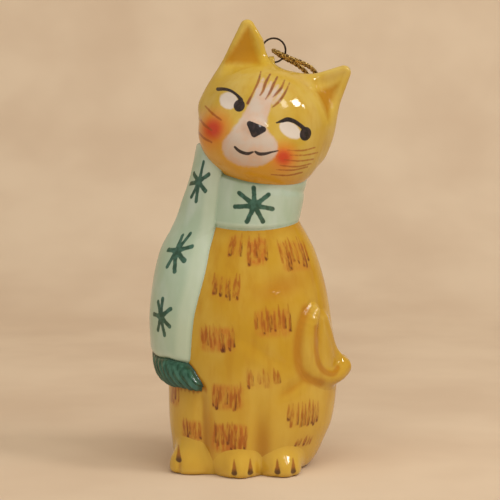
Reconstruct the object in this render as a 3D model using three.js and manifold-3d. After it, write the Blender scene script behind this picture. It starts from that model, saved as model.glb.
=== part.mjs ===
// A glazed ceramic hanging ornament: an upright cat in a scarf, with a wire
// ring and a cord loop on its crown. Millimetres, +Z up, the face towards -Y,
// the origin under the middle of the figure on the surface that it stands on.
import * as THREE from 'three';
import { mergeVertices } from 'three/addons/utils/BufferGeometryUtils.js';
import Module from 'manifold-3d';

const wasm = await Module();
wasm.setup();

// ---- Driving dimensions -------------------------------------------------

const wall = 3; // slip-cast wall thickness
const gap = 0.3; // clearance between pieces that touch
const neckTop = 77.5;
const pourHoleRadius = 5.5; // the slip is poured out through the base

// Horizontal sections of the body: height, centre x, centre y, half width, half depth.
const bodySections = [
  [0, -0.6, 0, 16.7, 15.8],
  [3, -0.6, 0, 18.8, 17.0],
  [7, 0, 0, 20.0, 17.9],
  [12, 0.7, 0, 21.3, 18.4],
  [21, 1.2, 0, 22.0, 18.7],
  [30, 0.9, 0, 21.7, 18.4],
  [40, 0.4, 0.1, 21.1, 17.2],
  [48, 0.4, 0.3, 19.6, 15.6],
  [56, 0.5, 0.6, 17.0, 13.6],
  [60, 0.6, 0.7, 14.9, 12.5],
  [64, 0.8, 0.9, 11.7, 11.0],
  [70, 1.6, 1.0, 9.6, 9.4],
  [neckTop, 2.6, 1.0, 8.0, 8.2],
];

// The head leans to +X. Its own axes are across, back and up from its centre.
const headCentre = new THREE.Vector3(5, 0, 88.5);
const headRoll = THREE.MathUtils.degToRad(23);
const headHalf = new THREE.Vector3(17.2, 15, 15);
const cheek = { centre: new THREE.Vector3(-8.2, -2, -5.5), half: new THREE.Vector3(9, 10, 8.6) };
const muzzle = { centre: new THREE.Vector3(-0.9, -10.2, -5.5), half: new THREE.Vector3(8, 6, 6) };
// Each ear is a rounded plate, dished in front: the corners of its core, across and up.
const earEdge = 1.9; // radius of its rounded rim
const earBack = 0.7; // how far its middle lies behind the head's centre
const ears = [
  [[-16.2, -1], [-5, 9.3], [-14.3, 21.3]],
  [[14, -1], [13, 20.2], [4, 12.6]],
];

// The scarf: the band round the neck, then the long end over the -X shoulder.
const collar = { bottom: 62.1, sideRise: 1.9, top: 77.4, slope: -0.12 };
const collarSections = [
  [60, 0.2, 0.8, 12.8, 12.7],
  [64, 0.6, 0.8, 12.9, 12.7],
  [69.5, 1.6, 0.8, 13.0, 12.6],
  [75, 2.5, 0.8, 13.0, 12.4],
  [80, 3.1, 0.8, 12.9, 12.2],
];
// The scarf's long end: height, centre x, centre y, half width and half depth of its
// outer face, and how far it wraps from the -X side towards the face, in degrees.
const scarfSections = [
  [20, 0, 0, 24.4, 20.8, 41],
  [30, 0, 0, 25, 20.8, 43],
  [40, 0, 0, 25.2, 20, 46],
  [51, 0, 0.3, 23.7, 18.2, 51],
  [59, 0.2, 0.5, 22, 16.2, 51],
  [66.5, 0.4, 0.6, 19.2, 14.9, 50],
  [74, 0.8, 0.6, 16.3, 13.4, 48],
  [84, 1, 0.6, 13.9, 12, 46],
];
const scarfThickness = 7;
const scarfBackAngle = -14;
const scarfTop = 84;
const scarfEnd = { back: 33, front: 28.5 }; // height of its lower edge
const scarfTaper = { front: 2.6, back: 1.2 }; // how far its long edges lie in
const fringeLength = 7;
const fringeSweep = 15; // how far its tips lean to the front, degrees
const fringeRibs = 7;
const fringeSwell = 0.5;

// The tail's end curls against the +X side: down in front, round the bottom and up again.
const tailPath = [
  { at: [15.8, -11.6, 41.5], radius: 1.3 },
  { at: [14.9, -12.6, 36], radius: 1.9 },
  { at: [15.2, -13, 31], radius: 2.1 },
  { at: [16.6, -12.6, 27], radius: 2.2 },
  { at: [19.8, -10.2, 24.4], radius: 2.4 },
  { at: [23.6, -6, 25.6], radius: 3.2 },
  { at: [22.7, -6.6, 29.4], radius: 2.6 },
  { at: [20.9, -8, 34.5], radius: 1.7 },
  { at: [18.3, -9.9, 39.5], radius: 1.2 },
];
const tailMiddle = [
  { at: [17.3, -10.9, 38], radius: 1.3 },
  { at: [19.8, -9.2, 29], radius: 3.2 },
];

const feet = [
  { name: 'front_paw_left', centre: [-3.1, -13.9, 1.6], half: [5.3, 6.3, 5.4] },
  { name: 'front_paw_right', centre: [7.9, -13.4, 1.6], half: [5.0, 6.3, 5.4] },
  { name: 'hind_foot', centre: [-14.4, -9.3, 1.5], half: [6.4, 5.8, 6.4] },
];

// The wire ring hangs in a pierced lug on the crown.
const ring = { centre: new THREE.Vector3(6.9, 3.6, 107.8), radius: 3.1, wire: 0.25 };
const lug = { x: 6.3, y: 3.6, holeZ: 104.7, holeRadius: 0.8, radius: 1.6, thickness: 1.6, rootZ: 101 };

// The cord loop, from the knot up the back, over the crown, through the ring and back.
const cordRadius = 0.65;
const cordSides = 8;
const cordSteps = 80;
const cordRoute = [
  [10.1, 18.7, 34.9],
  [10.2, 17.9, 38.5],
  [10.7, 16.2, 44.5],
  [11.6, 14.8, 52],
  [12.9, 13.9, 62],
  [14.2, 13.7, 72],
  [15.5, 13.4, 79.5],
  [16.9, 12.9, 84.5],
  [18.2, 12.1, 89],
  [19.1, 10.9, 93.6],
  [19.4, 9.2, 97.6],
  [18.7, 7.2, 100.9],
  [17, 5.2, 103.1],
  [14.6, 3.6, 104.4],
  [12.2, 2.5, 105.3],
  [9.9, 1.9, 106.2],
  [8.3, 2.3, 107],
  [6.9, 3.6, 107.7],
  [7.5, 5, 107.4],
  [9.2, 5.5, 106.2],
  [11.4, 5.6, 105.1],
  [13.6, 6.3, 103.9],
  [15.6, 7.6, 102.2],
  [17, 9.3, 99.6],
  [17.4, 11, 96],
  [17, 12.6, 91.6],
  [15.9, 13.7, 86.8],
  [14.5, 14.2, 81.5],
  [12.4, 14.5, 73],
  [10.6, 14.7, 62],
  [9.3, 15.1, 52],
  [8.4, 16.4, 44],
  [8, 17.9, 38.5],
  [7.9, 18.7, 34.9],
];
const knot = { centre: [9.0, 19.3, 31.6], half: [2.4, 2.0, 2.8] };
const knotEnds = [
  { from: [8.0, 19.3, 30.4], to: [6.9, 18.9, 25.2], radii: [cordRadius, cordRadius] },
  { from: [10.0, 19.3, 30.4], to: [10.9, 18.9, 24.6], radii: [cordRadius, cordRadius] },
];

// The middle of the figure without its cord, seen from above.
const standCentre = [0.79, -0.76];

// ---- Materials ------------------------------------------------------------

function finish(color, roughness, metalness = 0) {
  return new THREE.MeshStandardMaterial({ color, roughness, metalness });
}

const mustardGlaze = finish(0xc39632, 0.12);
const paleGlaze = finish(0xcda646, 0.12);
const mintGlaze = finish(0xafc0a5, 0.14);
const greenGlaze = finish(0x38635a, 0.16);
const darkWire = finish(0x4a4038, 0.35, 1);
const goldCord = finish(0xb08a3c, 0.45, 0.6);

// ---- Solids and meshes ----------------------------------------------------

function solid(geometry) {
  const bare = geometry.clone();
  bare.deleteAttribute('normal');
  bare.deleteAttribute('uv');
  const merged = mergeVertices(bare);
  const corners = merged.index.array;
  const kept = [];
  for (let i = 0; i < corners.length; i += 3) {
    const [a, b, c] = corners.slice(i, i + 3);
    if (a !== b && b !== c && c !== a) kept.push(a, b, c);
  }
  const vertProperties = new Float32Array(merged.attributes.position.array);
  const triVerts = new Uint32Array(kept);
  return new wasm.Manifold(new wasm.Mesh({ numProp: 3, vertProperties, triVerts }));
}

function piece(name, shape, material) {
  const { vertProperties, triVerts } = shape.getMesh();
  const geometry = new THREE.BufferGeometry();
  geometry.setAttribute('position', new THREE.BufferAttribute(vertProperties, 3));
  geometry.setIndex(new THREE.BufferAttribute(triVerts, 1));
  geometry.computeVertexNormals();
  const mesh = new THREE.Mesh(geometry, material);
  mesh.name = name;
  return mesh;
}

// Moves every vertex of a geometry to the place that the rule gives for it. The two
// copies of a seam's vertices are first made the same.
function reshaped(geometry, rule) {
  const seamError = 1e-9;
  const exact = (value) => (Math.abs(value) < seamError ? 0 : value);
  const position = geometry.attributes.position;
  for (let i = 0; i < position.count; i += 1) {
    const from = [position.getX(i), position.getY(i), position.getZ(i)].map(exact);
    position.setXYZ(i, ...rule(...from));
  }
  return geometry;
}

// The row at a height, smooth between the rows that a table gives.
function rowAt(rows, height) {
  const last = rows.length - 1;
  let i = 0;
  while (i < last - 1 && height > rows[i + 1][0]) i += 1;
  const [low, high] = [rows[i], rows[i + 1]];
  const [before, after] = [rows[Math.max(i - 1, 0)], rows[Math.min(i + 2, last)]];
  const span = high[0] - low[0];
  const t = THREE.MathUtils.clamp((height - low[0]) / span, 0, 1);
  return low.map((value, k) => {
    const slopeLow = (span * (high[k] - before[k])) / (high[0] - before[0]);
    const slopeHigh = (span * (after[k] - value)) / (after[0] - low[0]);
    const bend = 2 * (value - high[k]) + slopeLow + slopeHigh;
    const rise = 3 * (high[k] - value) - 2 * slopeLow - slopeHigh;
    return value + t * (slopeLow + t * (rise + t * bend));
  });
}

// A closed unit drum standing on Z, with heights from 0 to 1.
function drum(rings, sides) {
  const profile = [new THREE.Vector2(0, 0)];
  for (let i = 0; i <= rings; i += 1) profile.push(new THREE.Vector2(1, i / rings));
  profile.push(new THREE.Vector2(0, 1));
  return new THREE.LatheGeometry(profile, sides).rotateX(Math.PI / 2);
}

function ellipsoid(half, sides = 20, rings = 12) {
  return new THREE.SphereGeometry(1, sides, rings).scale(half.x, half.y, half.z);
}

// A run with round ends between two points, thicker towards one of them.
function taperedRun(from, to, radii) {
  const arcSteps = 4;
  const [start, end] = [new THREE.Vector3(...from), new THREE.Vector3(...to)];
  const along = end.clone().sub(start);
  const length = along.length();
  const profile = [];
  for (let i = 0; i <= arcSteps; i += 1) {
    const angle = (i / arcSteps) * (Math.PI / 2);
    profile.push(new THREE.Vector2(radii[0] * Math.sin(angle), -radii[0] * Math.cos(angle)));
  }
  for (let i = 0; i <= arcSteps; i += 1) {
    const angle = (i / arcSteps) * (Math.PI / 2);
    profile.push(new THREE.Vector2(radii[1] * Math.cos(angle), length + radii[1] * Math.sin(angle)));
  }
  const turn = new THREE.Quaternion();
  turn.setFromUnitVectors(new THREE.Vector3(0, 1, 0), along.normalize());
  return new THREE.LatheGeometry(profile, 10).applyQuaternion(turn).translate(...from);
}

// ---- Body -----------------------------------------------------------------

function bodyForm(grow, bottom, top, rings, sides) {
  return reshaped(drum(rings, sides), (x, y, t) => {
    const height = bottom + (top - bottom) * t;
    const [, centreX, centreY, halfWidth, halfDepth] = rowAt(bodySections, height);
    return [centreX + x * (halfWidth + grow), centreY + y * (halfDepth + grow), height];
  });
}

const bodyOuter = solid(bodyForm(0, 0, neckTop, 20, 28));
const bodyClear = solid(bodyForm(gap, -gap, neckTop + gap, 20, 28));

function bodyCasting() {
  const aboveTop = neckTop + 1;
  const hollow = solid(bodyForm(-wall, wall, aboveTop, 10, 24));
  const pour = new THREE.CylinderGeometry(pourHoleRadius, pourHoleRadius, 3 * wall, 24);
  const pourHole = solid(pour.rotateX(Math.PI / 2));
  return bodyOuter.subtract(hollow).subtract(pourHole);
}

// ---- Head -----------------------------------------------------------------

function inHeadPlace(geometry) {
  return geometry.rotateY(headRoll).translate(...headCentre);
}

// A flat outline a set distance outside a triangle, so that its corners are round.
function roundedOutline(corners, radius) {
  const cornerSteps = 4;
  const points = corners.flatMap((corner, i) => {
    const [before, after] = [corners.at(i - 1), corners[(i + 1) % corners.length]];
    const start = Math.atan2(before[0] - corner[0], corner[1] - before[1]);
    const turn = Math.atan2(corner[0] - after[0], after[1] - corner[1]) - start;
    const sweep = THREE.MathUtils.euclideanModulo(turn, 2 * Math.PI);
    return Array.from({ length: cornerSteps + 1 }, (_, step) => {
      const angle = start + (sweep * step) / cornerSteps;
      return new THREE.Vector2(corner[0] + radius * Math.cos(angle), corner[1] + radius * Math.sin(angle));
    });
  });
  return new THREE.Shape(points);
}

// A plate with rounded edges that reaches a set distance beyond a triangle's sides.
function roundedPlate(corners, reach, halfDepth) {
  const outline = roundedOutline(corners, reach / 2);
  const rounding = { bevelSize: reach / 2, bevelThickness: reach, bevelSegments: 4 };
  const plate = new THREE.ExtrudeGeometry(outline, { depth: 2 * halfDepth, curveSegments: 1, ...rounding });
  return plate.translate(0, 0, -halfDepth).rotateX(Math.PI / 2);
}

function earSolid(corners) {
  const dishForward = 4.4;
  const swell = 0.5;
  const plate = roundedPlate(corners, earEdge, swell).translate(0, earBack, 0);
  const dish = roundedPlate(corners, 1, 2).translate(0, earBack - dishForward, 0);
  return solid(inHeadPlace(plate)).subtract(solid(inHeadPlace(dish)));
}

function headForm(grow) {
  const half = headHalf.clone().addScalar(grow);
  const muzzleHalf = muzzle.half.clone().addScalar(grow);
  const skull = solid(inHeadPlace(ellipsoid(half, 28, 16)));
  const cheekHalf = cheek.half.clone().addScalar(grow);
  const nose = ellipsoid(muzzleHalf, 16, 10).translate(...muzzle.centre);
  const side = ellipsoid(cheekHalf, 18, 12).translate(...cheek.centre);
  return skull.add(solid(inHeadPlace(nose))).add(solid(inHeadPlace(side)));
}

const headClear = headForm(gap);

function headCasting() {
  const hollow = solid(inHeadPlace(ellipsoid(headHalf.clone().subScalar(wall), 20, 12)));
  const outer = ears.reduce((head, ear) => head.add(earSolid(ear)), headForm(0));
  return outer.subtract(hollow).subtract(bodyClear);
}

// ---- Scarf ----------------------------------------------------------------

function collarForm(grow, extra) {
  const rounding = 0.9;
  return reshaped(drum(6, 32), (x, y, t) => {
    const low = collar.bottom - extra + collar.sideRise * (1 + Math.min(0, y));
    const level = low + (collar.top + extra - low) * t;
    const [, centreX, centreY, halfWidth, halfDepth] = rowAt(collarSections, level);
    const out = grow - rounding * (2 * t - 1) ** 4;
    const across = x * (halfWidth + out);
    return [centreX + across, centreY + y * (halfDepth + out), level + collar.slope * across * t];
  });
}

function scarfCollar() {
  return solid(collarForm(0, 0)).subtract(bodyClear).subtract(headClear);
}

// A closed band wrapped round the -X side; its long edges are rounded.
function wrappedBand(rings, sides, heightAt, swellAt, sweep = 0) {
  const squareness = 0.45;
  return reshaped(drum(rings, sides), (x, y, t) => {
    const across = Math.sign(x) * Math.abs(x) ** squareness;
    const outwards = Math.sign(y) * Math.abs(y) ** squareness;
    const height = heightAt(across, t);
    const [, centreX, centreY, halfWidth, halfDepth, frontAngle] = rowAt(scarfSections, height);
    const middle = (frontAngle + scarfBackAngle) / 2;
    const reach = (frontAngle - scarfBackAngle) / 2;
    const angle = THREE.MathUtils.degToRad(middle - reach * across + sweep * (1 - t));
    const inset = scarfThickness * (0.5 - 0.5 * outwards) - swellAt(across, t);
    return [
      centreX - (halfWidth - inset) * Math.cos(angle),
      centreY - (halfDepth - inset) * Math.sin(angle),
      height,
    ];
  });
}

// The scarf's face lies in towards the body along its two long edges.
function scarfFace(across) {
  const toFront = Math.max(0, (0.2 - across) / 1.2) ** 1.5;
  const toBack = Math.max(0, (across - 0.5) / 0.5) ** 2;
  return -scarfTaper.front * toFront - scarfTaper.back * toBack;
}

function scarfEdge(across) {
  const middle = (scarfEnd.front + scarfEnd.back) / 2;
  return middle + (across * (scarfEnd.back - scarfEnd.front)) / 2;
}

function scarfTail(collarClear) {
  const band = wrappedBand(
    16,
    28,
    (across, t) => scarfEdge(across) + (scarfTop - scarfEdge(across)) * t,
    scarfFace,
  );
  return solid(band).subtract(bodyClear).subtract(headClear).subtract(collarClear);
}

function scarfFringe() {
  const rib = (across) => fringeSwell * Math.cos(across * fringeRibs * Math.PI);
  const length = (across) => fringeLength * (1 - 0.25 * Math.max(0, across) ** 2);
  const band = wrappedBand(
    4,
    48,
    (across, t) => scarfEdge(across) - gap - length(across) * (1 - t),
    (across, t) => scarfFace(across) * (0.6 + 0.4 * t) + (rib(across) - 0.8) * (1 - t),
    fringeSweep,
  );
  return solid(band).subtract(bodyClear);
}

// ---- Tail and feet --------------------------------------------------------

function catTail() {
  const runs = [tailPath, tailMiddle].flatMap((path) => path.slice(1).map((end, i) => {
    const start = path[i];
    return solid(taperedRun(start.at, end.at, [start.radius, end.radius]));
  }));
  return runs.reduce((whole, run) => whole.add(run)).subtract(bodyClear);
}

function foot({ centre, half }) {
  const deep = 20;
  const form = ellipsoid(new THREE.Vector3(...half), 24, 16).translate(...centre);
  const below = new THREE.BoxGeometry(deep, deep, deep).translate(centre[0], centre[1], -deep / 2);
  return solid(form).subtract(solid(below)).subtract(bodyClear);
}

// ---- Hanger ---------------------------------------------------------------

function hangerLug() {
  const stemHeight = lug.holeZ - lug.rootZ;
  const eye = new THREE.CylinderGeometry(lug.radius, lug.radius, lug.thickness, 24);
  const stem = new THREE.BoxGeometry(lug.thickness, 2 * lug.radius, stemHeight);
  const hole = new THREE.CylinderGeometry(lug.holeRadius, lug.holeRadius, 2 * lug.thickness, 20);
  eye.rotateZ(Math.PI / 2).translate(lug.x, lug.y, lug.holeZ);
  stem.translate(lug.x, lug.y, lug.rootZ + stemHeight / 2);
  hole.rotateZ(Math.PI / 2).translate(lug.x, lug.y, lug.holeZ);
  return solid(eye).add(solid(stem)).subtract(solid(hole)).subtract(headClear);
}

function hangerRing() {
  const loop = new THREE.TorusGeometry(ring.radius, ring.wire, 8, 32);
  return solid(loop.rotateX(Math.PI / 2).translate(...ring.centre));
}

function hangingCord() {
  const section = new THREE.Shape();
  for (let i = 0; i < cordSides; i += 1) {
    const angle = (2 * Math.PI * i) / cordSides;
    const corner = [cordRadius * Math.cos(angle), cordRadius * Math.sin(angle)];
    if (i === 0) section.moveTo(...corner);
    else section.lineTo(...corner);
  }
  const extrudePath = new THREE.CatmullRomCurve3(cordRoute.map((point) => new THREE.Vector3(...point)));
  const cord = new THREE.ExtrudeGeometry(section, { steps: cordSteps, extrudePath, bevelEnabled: false });
  return solid(cord);
}

function cordKnot() {
  const ball = ellipsoid(new THREE.Vector3(...knot.half), 14, 10).translate(...knot.centre);
  const ends = knotEnds.map(({ from, to, radii }) => solid(taperedRun(from, to, radii)));
  return ends.reduce((whole, end) => whole.add(end), solid(ball));
}

// ---- Assembly -------------------------------------------------------------

const figurine = new THREE.Group();
figurine.add(piece('body_casting', bodyCasting(), mustardGlaze));
figurine.add(piece('head_casting', headCasting(), paleGlaze));
figurine.add(piece('scarf_collar', scarfCollar(), mintGlaze));
const collarClear = solid(collarForm(gap, gap));
figurine.add(piece('scarf_tail', scarfTail(collarClear), mintGlaze));
figurine.add(piece('scarf_fringe', scarfFringe(), greenGlaze));
figurine.add(piece('cat_tail', catTail(), mustardGlaze));
for (const each of feet) figurine.add(piece(each.name, foot(each), mustardGlaze));
figurine.add(piece('hanger_lug', hangerLug(), paleGlaze));
figurine.add(piece('hanger_ring', hangerRing(), darkWire));
figurine.add(piece('hanging_cord', hangingCord(), goldCord));
figurine.add(piece('cord_knot', cordKnot(), goldCord));
figurine.position.set(-standCentre[0], -standCentre[1], 0);

export default figurine;
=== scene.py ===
"""A glazed ceramic hanging cat ornament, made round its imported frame.

The potter's surfaces are solid shapes given by distance functions in millimetres, in the
figure's own place, and are meshed from them. Paint is brushed on as distance fields on the
meshes' points, so that its edges stay crisp.
"""
import math
import bpy
import numpy as np
import openvdb
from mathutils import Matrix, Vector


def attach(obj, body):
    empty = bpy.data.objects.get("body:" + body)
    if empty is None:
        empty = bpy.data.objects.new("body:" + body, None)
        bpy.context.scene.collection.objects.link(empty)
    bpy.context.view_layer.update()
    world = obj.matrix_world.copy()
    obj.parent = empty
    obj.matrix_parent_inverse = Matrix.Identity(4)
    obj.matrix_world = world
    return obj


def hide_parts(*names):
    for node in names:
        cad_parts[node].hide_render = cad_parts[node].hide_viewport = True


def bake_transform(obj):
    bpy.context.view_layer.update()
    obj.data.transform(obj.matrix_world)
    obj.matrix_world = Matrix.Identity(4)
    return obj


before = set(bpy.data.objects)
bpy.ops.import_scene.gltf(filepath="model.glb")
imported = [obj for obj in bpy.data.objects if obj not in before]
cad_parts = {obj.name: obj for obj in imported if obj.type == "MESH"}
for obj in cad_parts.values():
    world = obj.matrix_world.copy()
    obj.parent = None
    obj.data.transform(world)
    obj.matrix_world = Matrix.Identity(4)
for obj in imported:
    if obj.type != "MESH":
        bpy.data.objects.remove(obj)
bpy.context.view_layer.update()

FIGURE = "figurine"  # the body that everything but the ring rides on
RING = "ring"
STAND_CENTRE = np.array([-0.79, 0.76, 0.0])  # from the potter's place to the row frame, mm
MM = 0.001

# Sections of the body: height, centre x, centre y, half width, half depth.
NECK_TOP = 77.5
BODY_ROWS = [
    (0, -0.6, 0, 16.7, 15.8),
    (3, -0.6, 0, 18.8, 17.0),
    (7, 0, 0, 20.0, 17.9),
    (12, 0.7, 0, 21.3, 18.4),
    (21, 1.2, 0, 22.0, 18.7),
    (30, 0.9, 0, 21.7, 18.4),
    (40, 0.4, 0.1, 21.1, 17.2),
    (48, 0.4, 0.3, 19.6, 15.6),
    (56, 0.5, 0.6, 17.0, 13.6),
    (60, 0.6, 0.7, 14.9, 12.5),
    (64, 0.7, 0.9, 12.6, 11.9),
    (70, 1.6, 1.0, 9.6, 9.4),
    (NECK_TOP, 2.6, 1.0, 8.0, 8.2),
]
COLLAR_ROWS = [
    (60, 0.2, 0.8, 12.8, 12.7),
    (64, 0.6, 0.8, 12.9, 12.7),
    (69.5, 1.6, 0.8, 13.0, 12.6),
    (75, 2.5, 0.8, 13.0, 12.4),
    (80, 3.1, 0.8, 12.9, 12.2),
]
# The scarf end's outer face, and how far it wraps from the -X side to the front, degrees.
SCARF_ROWS = [
    (20, 0, 0, 24.4, 20.8, 41),
    (30, 0, 0, 25.0, 20.8, 43),
    (40, 0, 0, 25.2, 20.0, 46),
    (51, 0, 0.3, 23.7, 18.2, 51),
    (59, 0.2, 0.5, 22.0, 16.2, 51),
    (66.5, 0.4, 0.6, 19.2, 14.9, 50),
    (74, 0.8, 0.6, 16.3, 13.4, 48),
    (84, 1.0, 0.6, 13.9, 12.0, 46),
]
SCARF_BACK = -14.0
SCARF_TOP = 84.0
SCARF_END_BACK = 33.0
SCARF_END_FRONT = 28.5
FRINGE_LENGTH = 7.0
THREAD_SPACING = 1.9
FRINGE_SWEEP = 15.0  # how far its tips lean to the front, degrees
COLLAR_BOTTOM = 62.1
COLLAR_SIDE_RISE = 1.9
COLLAR_TOP = 77.4
COLLAR_SLOPE = -0.04
HEAD_CENTRE = (5.0, 0.0, 88.5)
HEAD_ROLL = math.radians(23)
HEAD_HALF = (17.2, 15.0, 15.0)
RING_CENTRE = np.array([6.9, 3.6, 107.8])
RING_RADIUS = 3.1
RING_WIRE = 0.25
RING_SPRING = 0.10  # how far each cut end stands to its side
LUG = np.array([6.3, 3.6, 104.7])  # the middle of its hole
FAR = 9.0  # a distance that no paint reaches, mm
CAMERA_PLACE = (-25, -430, 95)
CAMERA_TARGET = (0.52, 0, 56.08)
CAMERA_LENS = 119.7


# ---- Camera --------------------------------------------------------------------------

def to_frame(points):
    """Figure millimetres to metres in the row frame."""
    return (np.asarray(points, float) + STAND_CENTRE) * MM


def in_scene(name, data):
    thing = bpy.data.objects.new(name, data)
    bpy.context.scene.collection.objects.link(thing)
    return thing


def add_camera():
    data = bpy.data.cameras.new("camera")
    data.sensor_width = 36
    data.lens = CAMERA_LENS
    camera = in_scene("camera", data)
    place = to_frame(CAMERA_PLACE)
    camera.location = place
    direction = Vector(to_frame(CAMERA_TARGET) - place)
    camera.rotation_euler = direction.to_track_quat("-Z", "Y").to_euler()
    bpy.context.scene.camera = camera


add_camera()


# ---- Numbers along curves ------------------------------------------------------------

def rows_at(rows, height):
    """Every column of a table at the given heights, smooth between its rows."""
    table = np.array(rows, float)
    height = np.asarray(height, float)
    last = len(table) - 1
    i = np.clip(np.searchsorted(table[:, 0], height) - 1, 0, last - 1)
    before = table[np.maximum(i - 1, 0)]
    low = table[i]
    high = table[i + 1]
    after = table[np.minimum(i + 2, last)]
    span = high[..., :1] - low[..., :1]
    t = np.clip((height[..., None] - low[..., :1]) / span, 0, 1)
    slope_low = span * (high - before) / (high[..., :1] - before[..., :1])
    slope_high = span * (after - low) / (after[..., :1] - low[..., :1])
    bend = 2 * (low - high) + slope_low + slope_high
    rise = 3 * (high - low) - 2 * slope_low - slope_high
    value = low + t * (slope_low + t * (rise + t * bend))
    return np.moveaxis(value, -1, 0)[1:]


def smooth_path(points, spacing):
    """Evenly spaced points on a centripetal curve through the given ones."""
    points = np.asarray(points, float)
    ends = [2 * points[0] - points[1], 2 * points[-1] - points[-2]]
    padded = np.vstack([ends[0], points, ends[1]])
    dense = []
    steps = 24
    for a, b, c, d in zip(padded, padded[1:], padded[2:], padded[3:]):
        ta = math.sqrt(np.linalg.norm(b - a))
        tb = ta + math.sqrt(np.linalg.norm(c - b))
        tc = tb + math.sqrt(np.linalg.norm(d - c))
        t = np.linspace(ta, tb, steps, endpoint=False)[:, None]
        ab = (ta - t) / ta * a + t / ta * b
        bc = (tb - t) / (tb - ta) * b + (t - ta) / (tb - ta) * c
        cd = (tc - t) / (tc - tb) * c + (t - tb) / (tc - tb) * d
        abc = (tb - t) / tb * ab + t / tb * bc
        bcd = (tc - t) / (tc - ta) * bc + (t - ta) / (tc - ta) * cd
        dense.append((tb - t) / (tb - ta) * abc + (t - ta) / (tb - ta) * bcd)
    dense.append(points[-1:])
    dense = np.vstack(dense)
    lengths = np.concatenate([[0], np.cumsum(np.linalg.norm(np.diff(dense, axis=0), axis=1))])
    wanted = np.linspace(0, lengths[-1], max(2, int(round(lengths[-1] / spacing)) + 1))
    return np.stack([np.interp(wanted, lengths, column) for column in dense.T], axis=1)


# ---- Distance functions, millimetres ---------------------------------------------------

def blend_union(a, b, reach):
    h = np.maximum(reach - np.abs(a - b), 0) / reach
    return np.minimum(a, b) - h * h * reach / 4


def blend_cut(a, b, reach):
    """What is in a and not in b, with a soft edge."""
    return -blend_union(-a, b, reach)


def blend_common(a, b, reach):
    return -blend_union(-a, -b, reach)


def bump(*offsets):
    """1 at the middle and 0 far off; each offset is in widths."""
    return np.exp(-sum(offset * offset for offset in offsets))


def ellipse(x, y, half_x, half_y):
    k0 = np.hypot(x / half_x, y / half_y) + 1e-6
    k1 = np.hypot(x / half_x**2, y / half_y**2) + 1e-7
    return k0 * (k0 - 1) / k1


def ellipsoid(x, y, z, half):
    k0 = np.sqrt((x / half[0]) ** 2 + (y / half[1]) ** 2 + (z / half[2]) ** 2) + 1e-6
    k1 = np.sqrt((x / half[0] ** 2) ** 2 + (y / half[1] ** 2) ** 2 + (z / half[2] ** 2) ** 2)
    return k0 * (k0 - 1) / (k1 + 1e-7)


def rounded_box(offsets, halves, radius):
    beyond = [np.abs(offset) - (half - radius) for offset, half in zip(offsets, halves)]
    outside = np.sqrt(sum(np.maximum(b, 0) ** 2 for b in beyond))
    inside = beyond[0]
    for b in beyond[1:]:
        inside = np.maximum(inside, b)
    return outside + np.minimum(inside, 0) - radius


def run(x, y, z, start, end, radii):
    """A run with round ends between two points."""
    start = np.array(start, float)
    along = np.array(end, float) - start
    dx, dy, dz = x - start[0], y - start[1], z - start[2]
    t = np.clip((dx * along[0] + dy * along[1] + dz * along[2]) / (along @ along), 0, 1)
    gap = np.sqrt((dx - t * along[0]) ** 2 + (dy - t * along[1]) ** 2 + (dz - t * along[2]) ** 2)
    return gap - (radii[0] + (radii[1] - radii[0]) * t)


def polygon(x, y, corners):
    """Signed distance from a flat shape whose corners go round anticlockwise."""
    nearest = None
    side = None
    for (ax, ay), (bx, by) in zip(corners, corners[1:] + corners[:1]):
        ex, ey = bx - ax, by - ay
        t = np.clip(((x - ax) * ex + (y - ay) * ey) / (ex * ex + ey * ey), 0, 1)
        gap = np.hypot(x - ax - t * ex, y - ay - t * ey)
        outward = ((x - ax) * ey - (y - ay) * ex) / math.hypot(ex, ey)
        nearest = gap if nearest is None else np.minimum(nearest, gap)
        side = outward if side is None else np.maximum(side, outward)
    return np.where(side > 0, nearest, side)


# ---- The figure's shapes ---------------------------------------------------------------

def body_plain(x, y, z):
    cx, cy, half_x, half_y = rows_at(BODY_ROWS, z)
    return ellipse(x - cx, y - cy, half_x, half_y)


def body_relief(x, y, z):
    """How far the modelled legs, chest and haunches stand proud of the plain body."""
    left_leg = 0.7 * bump((x + 5.0) / 5.6, np.maximum(z - 16, 0) / 14)
    right_leg = 0.7 * bump((x - 7.6) / 4.8, np.maximum(z - 14, 0) / 12)
    belly = 0.40 * bump((x - 9.0) / 6.0, (z - 42.5) / 4.5)
    haunch = 0.7 * bump((x - 14) / 6.5, (z - 14.5) / 7)
    far_haunch = 0.4 * bump((x + 16) / 5, (z - 12) / 8)
    between_legs = 1.1 * bump((x - 1.6) / 2.0, (z - 5) / 12)
    behind_leg = 1.0 * bump((x + 12.0 + 0.02 * z) / 1.5, np.maximum(np.abs(z - 12) - 7, 0) / 4)
    chest_fold = 0.45 * bump((x - 6.0) / 7.0, (z - 49.0 + 0.12 * (x - 6)) / 3.2)
    belly_fold = 0.35 * bump((x - 2.3 - 1.3 * (32 - z)) / 3.0, (z - 31.5) / 4.5)
    haunch_line = 0.45 * bump((x - 10.0) / 4.0, (z - 22.8 - 0.5 * (x - 10.0)) / 1.6)
    raised = left_leg + right_leg + belly + haunch + far_haunch
    sunk = between_legs + behind_leg + chest_fold + belly_fold + haunch_line
    return (raised - sunk) * np.clip(-y / 6, 0, 1)


def body_skin(x, y, z):
    side = body_plain(x, y, z) - body_relief(x, y, z)
    side = blend_common(side, -z, 1.6)
    return np.maximum(side, z - NECK_TOP)


def head_axes(x, y, z):
    dx, dz = x - HEAD_CENTRE[0], z - HEAD_CENTRE[2]
    cos, sin = math.cos(HEAD_ROLL), math.sin(HEAD_ROLL)
    return dx * cos - dz * sin, y - HEAD_CENTRE[1], dx * sin + dz * cos


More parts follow.
